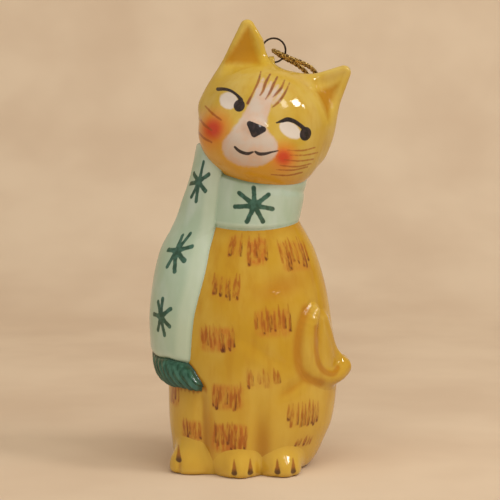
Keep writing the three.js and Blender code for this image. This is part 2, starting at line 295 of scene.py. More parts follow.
EARS = [
    {
        "corners": [(-15.8, -1.0), (-4.6, 9.6), (-11.0, 18.6), (-14.6, 21.2)], "y": 0.7,
        "shadow": [(-16.2, 10.8), (-8.4, 13.8), (-14.2, 20.6)], "shade": 0.4,
    },
    {
        "corners": [(14.0, -1.0), (13.0, 20.2), (4.0, 12.6)], "y": 0.7,
        "shadow": [(13.4, 7.0), (13.0, 17.6), (7.6, 12.6)], "shade": -0.3,
    },
]
EAR_EDGE = 1.9  # radius of an ear's rounded rim


def ear(u, v, w, shape):
    flat = polygon(u, w, shape["corners"])
    swell = 0.5 * np.clip(-flat / 3, 0, 1)
    out = np.abs(v - shape["y"]) - swell
    plate = np.sqrt(np.maximum(flat, 0) ** 2 + np.maximum(out, 0) ** 2) - EAR_EDGE
    dish = np.sqrt(np.maximum(flat + 1.6, 0) ** 2 + (v - shape["y"] + 4.4) ** 2) - 3.1
    return blend_cut(plate, dish, 1.3)


def head_plain(x, y, z):
    u, v, w = head_axes(x, y, z)
    skull = ellipsoid(u, v, w, HEAD_HALF) + 0.8 * bump((u - 16) / 6, (w + 1) / 6)
    cheek = ellipsoid(u + 8.2, v + 2.0, w + 5.3, (7.9, 9.6, 8.0))
    skull = blend_union(skull, cheek, 3)
    jaw = ellipsoid(u - 0.6, v + 3.5, w + 6.3, (13.0, 12.0, 10.8))
    skull = blend_union(skull, jaw, 5)
    for shape in EARS:
        skull = blend_union(skull, ear(u, v, w, shape), 4.5)
    return skull


def head_skin(x, y, z):
    u, v, w = head_axes(x, y, z)
    muzzle = ellipsoid(u + 2.2, v + 10.4, w + 6.3, (7.6, 5.6, 6.0))
    skin = blend_union(head_plain(x, y, z), muzzle, 4.5)
    nose = ellipsoid(u + 3.5, v + 15.2, w + 2.3, (2.4, 1.5, 1.7))
    skin = blend_union(skin, nose, 1.6)
    sockets = 0.35 * bump((u + 11.5) / 3, (w - 1.6) / 2.6) + 0.35 * bump((u - 5) / 3.6, (w - 1) / 2.6)
    return skin + np.where(v < 0, sockets, 0)


def collar_skin(x, y, z):
    cx, cy, half_x, half_y = rows_at(COLLAR_ROWS, z)
    out = ellipse(x - cx, y - cy, half_x, half_y)
    low = COLLAR_BOTTOM + COLLAR_SIDE_RISE * (1 - np.clip(-(y - cy) / half_y, 0, 1))
    high = COLLAR_TOP + COLLAR_SLOPE * (x - cx) - 2.8 * np.clip(-(y - cy) / half_y, 0, 1)
    middle = (low + high) / 2
    crease = 0.3 * bump((z - 73.6 + 0.16 * x) / 1.0) * np.clip((x + 8) / 16, 0, 1)
    return rounded_box([out + crease + 2.5, z - middle], [2.5, (high - low) / 2], 1.4)


def under_scarf(x, y, z):
    cx, cy, half_x, half_y = rows_at(COLLAR_ROWS, z)
    collar = np.maximum(ellipse(x - cx, y - cy, half_x, half_y), COLLAR_BOTTOM + 1 - z)
    return blend_union(body_plain(x, y, z), collar, 1.5)


def scarf_place(x, y, z, sweep=0.0):
    """Depth under the scarf end's outer face, and how far from its middle, in spans."""
    cx, cy, half_x, half_y, front = rows_at(SCARF_ROWS, z)
    depth = ellipse(x - cx, y - cy, half_x, half_y)
    angle = np.degrees(np.arctan2(-(y - cy) / half_y, -(x - cx) / half_x)) - sweep
    share = (angle - (front + SCARF_BACK) / 2) / ((front - SCARF_BACK) / 2)
    turned = np.radians(angle + sweep)
    local = np.sqrt((half_x * np.sin(turned)) ** 2 + (half_y * np.cos(turned)) ** 2)
    return depth, share, np.radians(front - SCARF_BACK) / 2 * local


def scarf_edge(share):
    share = np.clip(share, -1.2, 1.2)
    slant = (SCARF_END_BACK + SCARF_END_FRONT) / 2 - share * (SCARF_END_BACK - SCARF_END_FRONT) / 2
    return slant - 1.6 * (1 - share * share) + 0.6 * bump((share - 0.45) / 0.25)


def draped(x, y, z, depth, share, reach, lift):
    """Cloth that lies thin along its long edges and stands away between them."""
    under = under_scarf(x, y, z)
    from_front = np.maximum((1 - share) * reach, 0)
    from_back = np.maximum((1 + share) * reach, 0)
    face = np.maximum(under - lift - 0.45 * from_front, under - 2.2 - 1.3 * from_back)
    return blend_common(depth, face, 2.5), under


def scarf_tail_skin(x, y, z):
    depth, share, reach = scarf_place(x, y, z)
    low = scarf_edge(share)
    below_collar = np.clip((66 - z) / 6, 0, 1)
    face, under = draped(x, y, z, depth - 0.5, share, reach, 0.15 + 0.25 * below_collar)
    ripple = 0.15 * np.sin(z / 7.5 + 0.8) * bump(share / 0.7)
    sides = rounded_box([share * reach, z - (SCARF_TOP + low) / 2], [reach, (SCARF_TOP - low) / 2], 1.2)
    skin = blend_common(face - ripple, sides, 1.1)
    return np.maximum(skin, -under - 1.0)


def fringe_skin(x, y, z):
    _, plain_share, _ = scarf_place(x, y, z)
    down = scarf_edge(plain_share) + 0.4 - z
    fall = np.clip(down / FRINGE_LENGTH, 0, 1)
    depth, share, reach = scarf_place(x, y, z, FRINGE_SWEEP * fall)
    down = scarf_edge(share) + 0.4 - z
    threads = np.cos(2 * math.pi * share * reach / THREAD_SPACING)
    ribs = 0.12 * threads * np.clip(down / 2, 0, 1)
    length = FRINGE_LENGTH * (1 - 0.25 * np.clip(-share, 0, 1) ** 2) + 0.35 * threads
    belly = 1.1 * np.sin(math.pi * np.clip(down / length, 0, 1)) * bump((share - 0.4) / 0.8)
    face, under = draped(x, y, z, depth + 0.3, share, reach, 1.7)
    sides = rounded_box([share * reach, down - length / 2], [reach, length / 2], 2.6)
    skin = blend_common(face - belly - ribs, sides, 1.6)
    return np.maximum(skin, -under - 1.0)


# The tail comes round the hip from behind, under the flank and up to its tip in front.
TAIL_PATH = [
    ((16.6, -11.4, 41.4), 1.0),
    ((15.6, -12.2, 39.6), 1.7),
    ((14.6, -12.8, 37.0), 2.2),
    ((14.0, -13.0, 33.5), 2.6),
    ((14.2, -13.0, 30.0), 2.7),
    ((15.2, -12.5, 27.2), 2.5),
    ((17.2, -11.5, 25.2), 2.1),
    ((19.8, -9.7, 24.2), 1.95),
    ((22.4, -7.0, 24.3), 2.1),
    ((24.2, -3.8, 25.6), 2.35),
    ((24.2, -0.4, 26.4), 2.3),
    ((23.0, 3.2, 26.2), 2.0),
    ((20.7, 7.4, 25.4), 1.5),
    ((18.0, 10.6, 24.8), 0.9),
]
# Where the tail leaves the hip a thin web of clay runs up the flank.
TAIL_WEB = [
    ((24.2, -3.6, 26.0), 2.2),
    ((22.9, -4.2, 28.3), 1.6),
    ((21.2, -5.2, 31.0), 1.1),
    ((20.2, -6.6, 34.5), 0.8),
    ((19.2, -8.2, 39.0), 0.6),
]
# Inside its curl the flank stands out in a lobe: places from the front, and half widths.
TAIL_LOBE = [(18.6, 39.0), (19.1, 34.5), (19.7, 30.8), (20.2, 28.0)], [0.8, 2.1, 2.7, 2.8]
LOBE_RISE = 0.9
# Creases painted in shade, as seen from the front, and how softly the shade fades.
TAIL_CREASES = [
    ([(13.9, 42.0), (12.2, 37.1), (11.5, 31.4), (12.3, 27.0), (14.6, 24.6), (17.8, 23.2)], 1.1),
    ([(16.6, 37.6), (16.6, 30.8), (17.5, 27.6), (19.5, 25.6), (21.5, 25.2), (22.6, 26.2)], 0.6),
]
# How far round its foot each is filleted into the body, and the share of that in its skirt.
TAIL_BLEND = 2.2
PAW_BLEND = 2.8
SKIRT_SHARE = 0.73
SKIRT_SINK = 0.06


def rope(x, y, z, places):
    path = smooth_path([(*place, radius) for place, radius in places], 1.5)
    runs = [run(x, y, z, start[:3], end[:3], (start[3], end[3])) for start, end in zip(path, path[1:])]
    return np.minimum.reduce(runs)


def tail_plain(x, y, z):
    across, up = np.broadcast_arrays(x, z)
    seen = brush(across, up, *TAIL_LOBE) + np.clip(y + 3, 0, 9)
    lobe = blend_common(body_plain(x, y, z) - LOBE_RISE, seen, 2.4)
    flank = blend_union(lobe, rope(x, y, z, TAIL_WEB), 1.6)
    return blend_union(rope(x, y, z, TAIL_PATH), flank, 1.0)


PAWS = {
    "front_paw_left": {
        "centre": (-3.1, -13.9, 1.6), "half": (5.2, 6.2, 4.9), "grooves": (-4.6, -0.5), "claws": (4.9, 1.6),
    },
    "front_paw_right": {
        "centre": (7.9, -13.4, 1.6), "half": (4.9, 6.2, 4.9), "grooves": (6.3, 10.4), "claws": (4.7, 1.6),
    },
    "hind_foot": {
        "centre": (-14.4, -9.3, 1.5), "half": (6.3, 5.7, 6.3), "grooves": (-18.4,), "claws": (6.8, 3.8),
    },
}


def paw_plain(x, y, z, paw):
    centre = paw["centre"]
    shape = ellipsoid(x - centre[0], y - centre[1], z - centre[2], paw["half"])
    for groove in paw["grooves"]:
        shape = shape + 0.45 * bump((x - groove) / 0.7, (z - 1.0) / 3.2) * np.clip(-(y + 8) / 3, 0, 1)
    return blend_common(shape, -z, 1.2)


def lug_skin(x, y, z):
    dx, dy, dz = x - LUG[0], y - LUG[1], z - LUG[2]
    eye = np.hypot(np.maximum(np.abs(dx) - 0.35, 0), np.hypot(dy, dz) - 1.17) - 0.42
    stem = rounded_box([dx, dy, dz + 2.0], [0.9, 1.5, 1.6], 0.6)
    foot = ellipsoid(dx + 0.6, dy, dz + 2.2, (2.4, 2.2, 1.3))
    shape = blend_union(blend_union(eye, stem, 0.8), foot, 1.2)
    return np.maximum(shape, 0.72 - np.hypot(dy, dz))


# ---- Meshes from distance functions ----------------------------------------------------

def gradient(shape, points):
    """A distance function's value and slope at points, by small steps."""
    step = 0.02
    corners = np.array([(1, -1, -1), (-1, -1, 1), (-1, 1, -1), (1, 1, 1)], float)
    values = [shape(*(points + step * corner).T) for corner in corners]
    slope = sum(v[:, None] * corner for v, corner in zip(values, corners)) / (4 * step)
    return sum(values) / 4, slope


def surface(shape, low, high, cell):
    """Points and quads of a shape's skin, with the points moved exactly onto it."""
    axes = [np.arange(a, b + cell, cell) for a, b in zip(low, high)]
    x, y, z = axes[0][:, None, None], axes[1][None, :, None], axes[2][None, None, :]
    field = np.broadcast_to(shape(x, y, z), [len(axis) for axis in axes])
    grid = openvdb.FloatGrid(10.0)
    grid.copyFromArray(np.ascontiguousarray(field, dtype=np.float32))
    points, quads = grid.convertToQuads(isovalue=0.0)
    points = np.asarray(points, float) * cell + np.array(low, float)
    for _ in range(3):
        value, slope = gradient(shape, points)
        size = np.maximum((slope**2).sum(axis=1), 0.1)
        move = -slope * (value / size)[:, None]
        reach = np.linalg.norm(move, axis=1)
        points = points + move * np.minimum(1, 0.5 * cell / np.maximum(reach, 1e-9))[:, None]
    quads = np.asarray(quads, int)
    corners = points[quads]
    across = np.cross(corners[:, 2] - corners[:, 0], corners[:, 3] - corners[:, 1])
    if (across * corners.mean(axis=1)).sum() < 0:
        quads = quads[:, ::-1]
    return points, quads


def new_mesh(name, points, quads, material):
    mesh = bpy.data.meshes.new(name)
    mesh.vertices.add(len(points))
    mesh.vertices.foreach_set("co", to_frame(points).astype(np.float32).ravel())
    mesh.loops.add(quads.size)
    mesh.loops.foreach_set("vertex_index", quads.astype(np.int32).ravel())
    mesh.polygons.add(len(quads))
    mesh.polygons.foreach_set("loop_start", np.arange(0, quads.size, 4, dtype=np.int32))
    mesh.update(calc_edges=True)
    mesh.shade_smooth()
    mesh.materials.append(material)
    return in_scene(name, mesh)


def set_field(piece, name, values):
    layer = piece.data.attributes.new(name, "FLOAT", "POINT")
    layer.data.foreach_set("value", np.asarray(values, np.float32))


def part_of(shape, host, blend, skirt):
    """A part with the soft fillet that the glaze makes where it meets its host."""
    def skin(x, y, z):
        own = shape(x, y, z)
        filleted = blend_union(own, host(x, y, z) + SKIRT_SINK, blend)
        return np.maximum(filleted, own - skirt)

    return skin


def paw_skin(paw):
    def plain(x, y, z):
        return paw_plain(x, y, z, paw)

    filleted = part_of(plain, body_skin, PAW_BLEND, SKIRT_SHARE * PAW_BLEND)
    return lambda x, y, z: np.maximum(filleted(x, y, z), -z)


def whole_figure(x, y, z):
    figure = blend_union(body_skin(x, y, z), tail_plain(x, y, z), TAIL_BLEND)
    for paw in PAWS.values():
        figure = blend_union(figure, paw_plain(x, y, z, paw), PAW_BLEND)
    above = [head_skin(x, y, z), collar_skin(x, y, z), scarf_tail_skin(x, y, z), fringe_skin(x, y, z)]
    return np.minimum.reduce([figure] + above)


# ---- Paint ------------------------------------------------------------------------------

def brush(px, py, points, widths):
    """Signed distance from a brush stroke on a flat, with a half width at each point."""
    nearest = np.full(px.shape, np.inf)
    for (ax, ay), (bx, by), wa, wb in zip(points, points[1:], widths, widths[1:]):
        ex, ey = bx - ax, by - ay
        t = np.clip(((px - ax) * ex + (py - ay) * ey) / (ex * ex + ey * ey + 1e-9), 0, 1)
        gap = np.hypot(px - ax - t * ex, py - ay - t * ey) - (wa + (wb - wa) * t)
        nearest = np.minimum(nearest, gap)
    return nearest


def oval(px, py, centre, half, turn=0.0):
    cos, sin = math.cos(math.radians(turn)), math.sin(math.radians(turn))
    dx, dy = px - centre[0], py - centre[1]
    return ellipse(dx * cos + dy * sin, -dx * sin + dy * cos, half[0], half[1])


def smooth_strokes(points, widths):
    """A stroke's points and widths, filled in along a smooth curve."""
    flat = [(x, y, width) for (x, y), width in zip(points, widths)]
    dense = smooth_path(flat, 0.25)
    return dense[:, :2], dense[:, 2]


def union_of(fields):
    return np.minimum.reduce(fields)


BEHIND_FACE = 20.0  # added to the face's distances, to keep its paint off the back of the head
# Face, in the head's own axes, across and up, as seen from the front.
LID_LEFT = [(-15.5, 3.4), (-14.1, 4.0), (-12.6, 4.2), (-10.8, 3.8), (-9.4, 3.1)]
LID_RIGHT = [(0.8, 1.2), (2.0, 2.2), (3.2, 3.1), (4.8, 3.3), (6.6, 3.0), (8.2, 2.5)]
MOUTH_LEFT = [(-6.4, -8.4), (-5.4, -8.8), (-4.0, -8.9), (-2.8, -8.6), (-1.9, -7.8)]
MOUTH_RIGHT = [(-1.4, -7.5), (-0.3, -7.6), (1.1, -7.0), (2.3, -6.1), (3.9, -5.0)]
STRIPES = [
    ([(-7.3, 11.7), (-7.1, 9.1), (-7.3, 6.3), (-7.6, 2.9)], [0.15, 0.3, 0.22, 0.36]),
    ([(-4.9, 12.0), (-5.3, 9.4), (-5.2, 7.3), (-5.5, 5.9)], [0.2, 0.34, 0.3, 0.14]),
    ([(-3.0, 12.1), (-3.3, 9.9), (-3.5, 7.4), (-3.9, 5.5)], [0.2, 0.32, 0.3, 0.12]),
    ([(-1.0, 12.0), (-1.2, 9.8), (-1.8, 8.1), (-2.4, 6.7)], [0.16, 0.3, 0.3, 0.12]),
    ([(0.4, 11.8), (0.0, 8.5), (-0.6, 6.2), (-1.6, 4.3)], [0.14, 0.28, 0.3, 0.14]),
]
WHITE_STREAKS = [
    ([(-6.2, 10.2), (-6.2, 7.0), (-6.0, 3.5)], [0.2, 0.75, 0.9]),
    ([(-4.1, 10.2), (-4.3, 7.5), (-4.5, 3.5)], [0.2, 0.75, 1.0]),
    ([(-2.2, 10.1), (-2.6, 7.2), (-3.1, 3.5)], [0.2, 0.7, 0.9]),
    ([(-0.6, 9.4), (-1.1, 7.4), (-1.9, 5.2)], [0.15, 0.4, 0.3]),
]
WHISKERS_RIGHT = [
    [(6.0, -4.0), (9.9, -2.5), (12.7, -0.6)],
    [(7.2, -4.9), (10.9, -3.4), (14.0, -1.5)],
    [(6.3, -6.5), (10.1, -5.3), (13.5, -3.5)],
    [(5.9, -8.2), (10.0, -6.9), (13.4, -4.8)],
    [(5.4, -9.6), (9.6, -8.0), (12.8, -5.9)],
    [(4.8, -11.2), (9.0, -9.7), (12.1, -7.7)],
]
WHISKERS_LEFT = [
    [(-16.8, -1.8), (-14.4, -2.9), (-12.0, -3.5)],
    [(-17.0, -5.2), (-15.2, -6.3), (-13.2, -6.8)],
    [(-15.8, -8.6), (-14.0, -9.4), (-12.0, -9.6)],
]


def face_fields(u, w):
    """Distances from each colour on the face, in the head's own axes."""
    def stroke(points, widths):
        return brush(u, w, *smooth_strokes(points, widths))

    dark = [
        stroke(LID_LEFT, [0.48, 0.42, 0.36, 0.36, 0.5]),
        stroke(LID_RIGHT, [0.18, 0.42, 0.58, 0.52, 0.5, 0.6]),
        stroke(MOUTH_LEFT, [0.30, 0.38, 0.42, 0.40, 0.26]),
        stroke(MOUTH_RIGHT, [0.26, 0.44, 0.38, 0.27, 0.14]),
        oval(u, w, (-9.25, 1.55), (1.35, 1.55)),
        oval(u, w, (8.85, 1.55), (1.5, 1.75)),
        polygon(u, w, [(-3.3, -3.7), (-1.65, -1.6), (-5.3, -1.65)]) - 0.72,
    ]
    muzzle = oval(u, w, (-2.9, -7.0), (6.9, 4.9), 22)
    blaze = brush(u, w, [(-4.4, -3.5), (-4.5, -0.5), (-4.5, 3.4)], [4.0, 3.2, 2.5])
    streaks = union_of([stroke(*streak) for streak in WHITE_STREAKS])
    eyes = [oval(u, w, (-12.1, 1.7), (2.2, 2.1)), oval(u, w, (4.8, 0.9), (3.1, 1.8), -8)]
    whiskers = [stroke(line, [0.12, 0.2, 0.17]) for line in WHISKERS_RIGHT]
    whiskers += [stroke(line, [0.18, 0.28, 0.22]) for line in WHISKERS_LEFT]
    cheeks = [np.hypot((u - 5.8) / 1.1, w + 6.0), np.hypot((u + 13.0) / 1.15, (w + 6.4) / 1.35)]
    return {
        "dark": union_of(dark),
        "white": blend_union(muzzle, blend_union(blaze, streaks, 0.6), 1.5),
        "eye": union_of(eyes),
        "stripe": union_of([stroke(*stripe) for stripe in STRIPES]),
        "whisker": union_of(whiskers),
        "blush": union_of(cheeks),
    }


def paint_face(piece, points):
    u, v, w = head_axes(*points.T)
    behind = np.where(v > -2, BEHIND_FACE, 0.0)
    for name, distance in face_fields(u, w).items():
        set_field(piece, name, distance + behind)
    chin = np.clip((-w - 4.5 - 0.15 * np.abs(u)) / 6.5, 0, 1) * np.clip(-v / 6, 0, 1)
    set_field(piece, "shade_and_chin_tint", chin)
    dishes = [polygon(u, w, shape["shadow"]) - shape["shade"] for shape in EARS]
    set_field(piece, "ear_dish_shadow", np.where(v < 0.3, union_of(dishes), FAR))


# Patches of fur strokes as seen from the front: left, right, top and bottom, and how solid
# their wash is.
FRONT_PATCHES = [
    (-5.8, -2.3, 62.0, 55.4, 0.35),
    (-1.1, 4.0, 61.4, 53.4, 0.85),
    (7.1, 15.0, 60.5, 51.6, 0.5),
    (-10.3, -2.3, 52.0, 44.4, 0.2),
    (0.6, 9.8, 43.9, 35.7, 0.6),
    (-13.1, -4.3, 39.2, 31.9, 0.8),
    (-2.0, 7.2, 28.4, 22.9, 0.15),
    (-10.1, -2.2, 25.0, 17.4, 0.75),
    (8.2, 17.2, 19.9, 12.5, 0.2),
    (-10.0, -1.2, 15.1, 6.4, 1.0),
    (10.6, 15.4, 10.1, 6.8, 0.2),
    (-17.2, -12.7, 14.7, 8.6, 0.8),
    (-20.8, -18.0, 25.8, 16.6, 0.7),
]
# Patches round the sides and the back: angle from the face towards +X in degrees, top, width.
REST_PATCHES = [
    (100, 57, 6), (146, 59, 7), (196, 58, 6), (238, 57, 6),
    (118, 47, 8), (166, 48, 9), (214, 46, 8), (252, 42, 6),
    (98, 36, 8), (142, 36, 9), (190, 35, 9), (232, 34, 8),
    (116, 24, 9), (164, 24, 8), (212, 23, 9), (256, 24, 7),
    (94, 13, 7), (138, 13, 9), (186, 12, 8), (230, 13, 9),
]
REST_HEIGHT = 7.0
REST_WASH = 0.45
WIDEST_SINE = 0.98  # as near to the body's outline as a front patch may reach
STROKE_SPACING = 1.15
FUR_SEED = 7
FUR_FIELDS = "wash", "stroke", "line", "dot"


def body_chart(points):
    """Angle round the body from the middle of the front, height, and the radius there."""
    x, y, z = points.T
    cx, cy, half_x, half_y = rows_at(BODY_ROWS, z)
    angle = np.arctan2((x - cx) / half_x, -(y - cy) / half_y)
    return angle, z, (half_x + half_y) / 2


def fur_patches():
    patches = []
    for left, right, top, bottom, solid in FRONT_PATCHES:
        cx, _, half_x, half_y = rows_at(BODY_ROWS, (top + bottom) / 2)
        sines = [(edge - cx) / half_x for edge in (left, right)]
        ends = [math.asin(max(-WIDEST_SINE, min(WIDEST_SINE, sine))) for sine in sines]
        radius = (half_x + half_y) / 2
        patches.append(((ends[0] + ends[1]) / 2, top, bottom, radius * (ends[1] - ends[0]), solid))
    for degrees, top, width in REST_PATCHES:
        patches.append((math.radians(degrees), top, top - REST_HEIGHT, width, REST_WASH))
    return patches


def add_fur_stroke(random, s, z, across, upper, lower, lean, shape, shade):
    """An upright stroke, often with a darker line in it and sometimes a wet dot at its end."""
    drift = lean * (upper - lower) + random.uniform(-0.15, 0.15)
    line = [(across, upper), (across + 0.5 * drift, (upper + lower) / 2), (across + drift, lower)]
    thick = random.uniform(0.28, 0.5)
    wide = brush(s, z, line, [0.08, thick, 0.8 * thick])
    shape["stroke"] = np.minimum(shape["stroke"], wide)
    if random.uniform() < 0.7:
        start = random.uniform(0.1, 0.5)
        side = across + 0.35
        core = [(side + start * drift, upper + start * (lower - upper)), (side + drift, lower)]
        fine = brush(s, z, core, [0.05, random.uniform(0.12, 0.26)])
        shade[:] = np.where(fine < shape["line"], random.uniform(0.6, 1.0), shade)
        shape["line"] = np.minimum(shape["line"], fine)
    if random.uniform() < 0.35:
        end = oval(s, z, (across + drift, lower + 0.2), (0.22, random.uniform(0.3, 0.6)), 20)
        shape["dot"] = np.minimum(shape["dot"], end)


def fur_patch(random, s, z, top, bottom, width, shade):
    """Distances from a patch's wash, strokes, lines and dots; shade is how dark its lines are."""
    tall = top - bottom
    lean = random.uniform(-0.06, 0.06)
    shape = {name: np.full(len(s), FAR) for name in FUR_FIELDS}
    below_middle = z - (top + bottom) / 2 + 0.08 * tall
    shape["wash"] = rounded_box([s, below_middle], [0.46 * width, 0.40 * tall], 1.2)
    count = max(3, int(round(width / STROKE_SPACING)))
    for k in range(count):
        across = ((k + 0.5) / count - 0.5 + random.uniform(-0.3, 0.3) / count) * width
        upper = top - random.uniform(0, 0.30) * tall
        lower = bottom + random.uniform(0, 0.30) * tall
        add_fur_stroke(random, s, z, across, upper, lower, lean, shape, shade)
    return shape


def paint_fur(piece, points):
    """Patches of upright brush strokes over a thin sienna wash."""
    random = np.random.default_rng(FUR_SEED)
    angle, z, radius = body_chart(points)
    fields = {name: np.full(len(points), FAR) for name in FUR_FIELDS}
    shade = np.zeros(len(points))
    solid_wash = np.zeros(len(points))
    for middle, top, bottom, width, solid in fur_patches():
        s = ((angle - middle + math.pi) % (2 * math.pi) - math.pi) * radius
        near = (np.abs(s) < width / 2 + 3) & (z < top + 3) & (z > bottom - 3)
        near_shade = shade[near]
        shape = fur_patch(random, s[near], z[near], top, bottom, width, near_shade)
        shade[near] = near_shade
        solid_wash[near] = np.where(shape["wash"] < fields["wash"][near], solid, solid_wash[near])
        for name, field in fields.items():
            field[near] = np.minimum(field[near], shape[name])
    for name, field in fields.items():
        set_field(piece, name, field)
    set_field(piece, "shade", shade)
    set_field(piece, "solid", solid_wash)


def star(px, py, arms):
    """A brushed star: arms from the middle, fuller towards their round ends."""
    fields = [oval(px, py, (0, 0), (1.25, 1.25))]
    for degrees, length in arms:
        tip = (length * math.cos(math.radians(degrees)), length * math.sin(math.radians(degrees)))
        bend = (0.55 * tip[0], 0.55 * tip[1])
        fields.append(brush(px, py, [(0, 0), bend, tip], [0.85, 0.56, 0.60]))
    return union_of(fields)


COLLAR_STAR = [(92, 4.5), (37, 4.5), (-11, 4.7), (-62, 4.6), (-115, 4.5), (184, 4.8), (140, 4.9)]
TAIL_STARS = [
    {"angle": 21, "z": 74.1, "arms": [(84, 5.0), (30, 3.8), (-37, 3.8), (-84, 5.0), (-112, 4.2),
                                      (150, 4.0), (190, 4.0)]},
    {"angle": 26, "z": 56.6, "arms": [(70, 4.5), (16, 4.2), (-34, 4.3), (-70, 5.5), (-104, 4.2),
                                      (180, 3.5), (106, 3.8)]},
    {"angle": 23, "z": 39.8, "arms": [(90, 4.5), (35, 3.8), (-36, 3.8), (-73, 4.8), (-109, 3.8),
                                      (175, 3.5), (116, 4.0)]},
]


def paint_collar(piece, points):
    x, y, z = points.T
    front = np.where(y < 0, 0.0, FAR)
    set_field(piece, "star", star(x - 0.95, z - 68.4, COLLAR_STAR) + front)


def paint_scarf(piece, points):
    x, y, z = points.T
    fields = []
    for each in TAIL_STARS:
        cx, cy, half_x, half_y, _ = rows_at(SCARF_ROWS, each["z"])
        angle = np.arctan2(-(y - cy) / half_y, -(x - cx) / half_x) - math.radians(each["angle"])
        fields.append(star(angle * (half_x + half_y) / 2, z - each["z"], each["arms"]))
    set_field(piece, "star", union_of(fields))


def claw_painter(paw):
    """Paints a paw's claws as brush marks that swell to a dark foot."""
    top, foot = paw["claws"]
    middle = 0.45 * top + 0.55 * foot

    def paint(piece, points):
        x, y, z = points.T
        claws = [
            brush(x, z, [(groove, top), (groove, middle), (groove, foot)], [0.1, 0.42, 0.74])
            for groove in paw["grooves"]
        ]
        set_field(piece, "claw", union_of(claws) + np.where(y < -6, 0.0, FAR))
        set_field(piece, "tip", np.clip((middle - z) / (middle - foot), 0, 1))

    return paint


def paint_glaze_depth_and_shade(piece, points):
    """Where glaze pools in hollows, which also carries painted shade there, and where it thins over edges,
    from the distances round a point.
    """
    near = 1.7
    value, slope = gradient(whole_figure, points)
    size = np.maximum(np.linalg.norm(slope, axis=1), 0.2)
    normal = slope / size[:, None]
    outside = (whole_figure(*(points + near * normal).T) - value) / size
    inside = (whole_figure(*(points - near * normal).T) - value) / size
    set_field(piece, "pool_and_shade", np.clip(1 - outside / near, 0, 1))
    set_field(piece, "thin", np.clip(1 + inside / near, 0, 1))


# ---- Materials --------------------------------------------------------------------------

def srgb(red, green, blue):
    """A colour as it is seen, 0 to 255, as the light that a shader takes."""
    parts = [c / 255 for c in (red, green, blue)]
    light = [p / 12.92 if p <= 0.04045 else ((p + 0.055) / 1.055) ** 2.4 for p in parts]
    return (*light, 1.0)


class Paint:
    """A node material that is built up in layers, as underglaze colours are brushed on."""

    def __init__(self, name):
        self.material = bpy.data.materials.new(name)
        self.material.use_nodes = True
        self.nodes = self.material.node_tree.nodes
        self.links = self.material.node_tree.links
        self.shader = self.nodes["Principled BSDF"]
        self.place = self.nodes.new("ShaderNodeTexCoord").outputs["Object"]

    def field(self, name):
        node = self.nodes.new("ShaderNodeAttribute")
        node.attribute_name = name
        return node.outputs["Fac"]

    def height(self):
        """Metres above the standing surface."""
        node = self.nodes.new("ShaderNodeSeparateXYZ")
        self.links.new(self.place, node.inputs["Vector"])
        return node.outputs["Z"]

    def noise(self, size, detail, stretch=(1, 1, 1)):
        """Noise with features of about the given size in millimetres."""
        mapping = self.nodes.new("ShaderNodeMapping")
        mapping.inputs["Scale"].default_value = [1000 / size / s for s in stretch]
        self.links.new(self.place, mapping.inputs["Vector"])
        node = self.nodes.new("ShaderNodeTexNoise")
        node.inputs["Scale"].default_value = 1.0
        node.inputs["Detail"].default_value = detail
        self.links.new(mapping.outputs["Vector"], node.inputs["Vector"])
        return node.outputs["Fac"]

    def feed(self, socket, value):
        if isinstance(value, bpy.types.NodeSocket):
            self.links.new(value, socket)
        else:
            socket.default_value = value

    def math(self, operation, first, second):
        node = self.nodes.new("ShaderNodeMath")
        node.operation = operation
        self.feed(node.inputs[0], first)
        self.feed(node.inputs[1], second)
        return node.outputs[0]

    def ramp(self, value, start, end, low=0.0, high=1.0):
        """From low where the value is start to high where it is end, with soft ends."""
        node = self.nodes.new("ShaderNodeMapRange")
        node.interpolation_type = "SMOOTHSTEP"
        self.feed(node.inputs["Value"], value)
        node.inputs["From Min"].default_value = start
        node.inputs["From Max"].default_value = end
        node.inputs["To Min"].default_value = low
        node.inputs["To Max"].default_value = high
        return node.outputs["Result"]

    def mix(self, factor, below, above):
        node = self.nodes.new("ShaderNodeMix")
        node.data_type = "RGBA"
        self.feed(node.inputs[0], factor)
        self.feed(node.inputs[6], below)
        self.feed(node.inputs[7], above)
        return node.outputs[2]

    def mottle(self, noise, start, end, one, other):
        """Goes from one colour to the other where the noise rises from start to end."""
        return self.mix(self.ramp(noise, start, end), one, other)

    def tint(self, color, name, start, end, amount, paint):
        """Lays up to an amount of paint as a field goes from start to end."""
        return self.mix(self.ramp(self.field(name), start, end, 0.0, amount), color, paint)

    def coat_of_paint(self, color, name, paint, edge, ragged, strength):
        """Lays paint where a distance field is below zero, with a brushed edge."""
        wobble = self.math("MULTIPLY", self.math("SUBTRACT", self.noise(1.1, 4), 0.5), ragged)
        distance = self.math("ADD", self.field(name), wobble)
        cover = self.math("MULTIPLY", self.ramp(distance, edge, -edge), strength)
        return self.mix(cover, color, paint)

    def bump(self, height, distance):
        node = self.nodes.new("ShaderNodeBump")
        node.inputs["Distance"].default_value = distance * MM
        self.links.new(height, node.inputs["Height"])
        return node.outputs["Normal"]

    def glaze(self, color, waviness=0.05):
        """Finishes as clear gloss glaze: a hard bright coat over the painted clay."""
        shader = self.shader
        self.links.new(color, shader.inputs["Base Color"])
        rough = self.ramp(self.noise(2.4, 3), 0.3, 0.75, 0.22, 0.34)
        self.links.new(rough, shader.inputs["Roughness"])
        shader.inputs["Specular IOR Level"].default_value = 0.0
        shader.inputs["Coat Weight"].default_value = 1.0
        shader.inputs["Coat Roughness"].default_value = 0.035
        shader.inputs["Coat IOR"].default_value = 1.52
        height = self.mix(0.35, self.noise(3.2, 2), self.noise(0.7, 3))
        wave = self.bump(height, waviness)
        self.links.new(wave, shader.inputs["Normal"])
        self.links.new(wave, shader.inputs["Coat Normal"])
        return self.material


